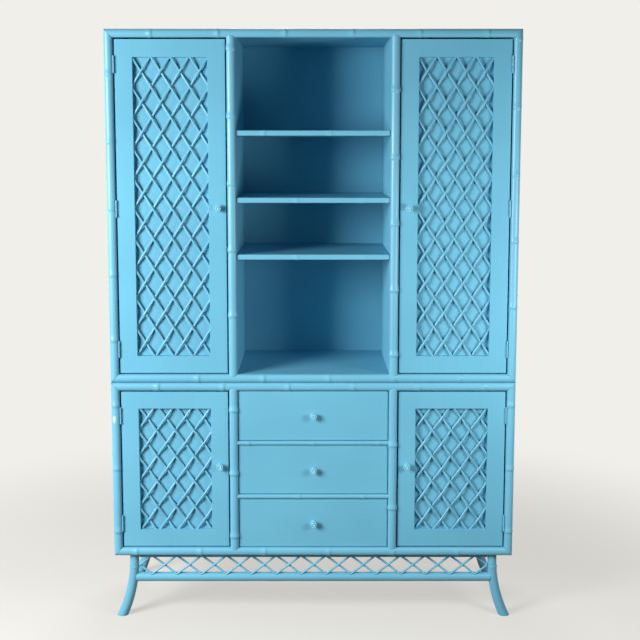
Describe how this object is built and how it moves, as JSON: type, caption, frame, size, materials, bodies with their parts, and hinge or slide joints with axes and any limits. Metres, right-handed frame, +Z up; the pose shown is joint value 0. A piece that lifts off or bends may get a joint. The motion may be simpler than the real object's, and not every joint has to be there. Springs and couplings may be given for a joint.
{
  "type": "breakfront cabinet",
  "caption": "Tall two-stage painted cabinet on curved legs, with bamboo-pattern mouldings, rattan lattice doors, an open shelved bay and drawers.",
  "frame": {"origin": "on the floor, under the middle of the whole box", "axes": "+Z up, +X to the right seen from the front, the front faces -Y"},
  "size_m": [1.372, 0.4664, 2.008],
  "materials": {
    "case_paint": "satin blue paint on wood",
    "front_paint": "satin blue paint on wood",
    "moulding_paint": "satin blue paint on turned and split wood",
    "rattan_paint": "satin blue paint on rattan",
    "knob_paint": "satin blue paint on turned wood",
    "hinge_paint": "blue paint over steel",
    "drawer_wood": "bare sanded poplar inside the drawers"
  },
  "bodies": {
    "cabinet": {"lower_left_side": "case_paint", "lower_right_side": "case_paint", "lower_top": "case_paint", "lower_bottom": "case_paint", "lower_back": "case_paint", "lower_left_divider": "case_paint", "lower_right_divider": "case_paint", "upper_left_side": "case_paint", "upper_right_side": "case_paint", "upper_top": "case_paint", "upper_bottom": "case_paint", "upper_back": "case_paint", "upper_left_divider": "case_paint", "upper_right_divider": "case_paint", "lower_top_rail": "moulding_paint", "lower_bottom_rail": "moulding_paint", "lower_left_stile": "moulding_paint", "lower_right_stile": "moulding_paint", "upper_top_rail": "moulding_paint", "upper_bottom_rail": "moulding_paint", "upper_left_stile": "moulding_paint", "upper_right_stile": "moulding_paint", "lower_drawer_rail": "moulding_paint", "upper_drawer_rail": "moulding_paint", "bottom_shelf": "case_paint", "middle_shelf": "case_paint", "top_shelf": "case_paint", "upper_left_door_bottom_hinge": "hinge_paint", "upper_left_door_middle_hinge": "hinge_paint", "upper_left_door_top_hinge": "hinge_paint", "upper_right_door_bottom_hinge": "hinge_paint", "upper_right_door_middle_hinge": "hinge_paint", "upper_right_door_top_hinge": "hinge_paint", "lower_left_door_bottom_hinge": "hinge_paint", "lower_left_door_top_hinge": "hinge_paint", "lower_right_door_bottom_hinge": "hinge_paint", "lower_right_door_top_hinge": "hinge_paint", "front_left_leg": "rattan_paint", "front_right_leg": "rattan_paint", "rear_left_leg": "rattan_paint", "rear_right_leg": "rattan_paint", "front_apron": "rattan_paint"},
    "upper_left_leaf": {"upper_left_door": "front_paint", "upper_left_door_lattice": "rattan_paint", "upper_left_door_knob": "knob_paint"},
    "upper_right_leaf": {"upper_right_door": "front_paint", "upper_right_door_lattice": "rattan_paint", "upper_right_door_knob": "knob_paint"},
    "lower_left_leaf": {"lower_left_door": "front_paint", "lower_left_door_lattice": "rattan_paint", "lower_left_door_knob": "knob_paint"},
    "lower_right_leaf": {"lower_right_door": "front_paint", "lower_right_door_lattice": "rattan_paint", "lower_right_door_knob": "knob_paint"},
    "bottom_tray": {"bottom_drawer": "front_paint", "bottom_drawer_knob": "knob_paint"},
    "middle_tray": {"middle_drawer": "front_paint", "middle_drawer_knob": "knob_paint"},
    "top_tray": {"top_drawer": "front_paint", "top_drawer_knob": "knob_paint"}
  },
  "joints": [
    {"name": "upper_left_door_swing", "type": "hinge", "parent": "cabinet", "child": "upper_left_leaf", "pos_m": [-0.65495, -0.21405, 0.8641], "axis": [0, 0, -1], "range_deg": [0, 115]},
    {"name": "upper_right_door_swing", "type": "hinge", "parent": "cabinet", "child": "upper_right_leaf", "pos_m": [0.65495, -0.21405, 0.8641], "axis": [0, 0, 1], "range_deg": [0, 115]},
    {"name": "lower_left_door_swing", "type": "hinge", "parent": "cabinet", "child": "lower_left_leaf", "pos_m": [-0.65495, -0.21405, 0.2566], "axis": [0, 0, -1], "range_deg": [0, 115]},
    {"name": "lower_right_door_swing", "type": "hinge", "parent": "cabinet", "child": "lower_right_leaf", "pos_m": [0.65495, -0.21405, 0.2566], "axis": [0, 0, 1], "range_deg": [0, 115]},
    {"name": "bottom_drawer_slide", "type": "slide", "parent": "cabinet", "child": "bottom_tray", "axis": [0, -1, 0], "range_m": [0, 0.3]},
    {"name": "middle_drawer_slide", "type": "slide", "parent": "cabinet", "child": "middle_tray", "axis": [0, -1, 0], "range_m": [0, 0.3]},
    {"name": "top_drawer_slide", "type": "slide", "parent": "cabinet", "child": "top_tray", "axis": [0, -1, 0], "range_m": [0, 0.3]}
  ]
}
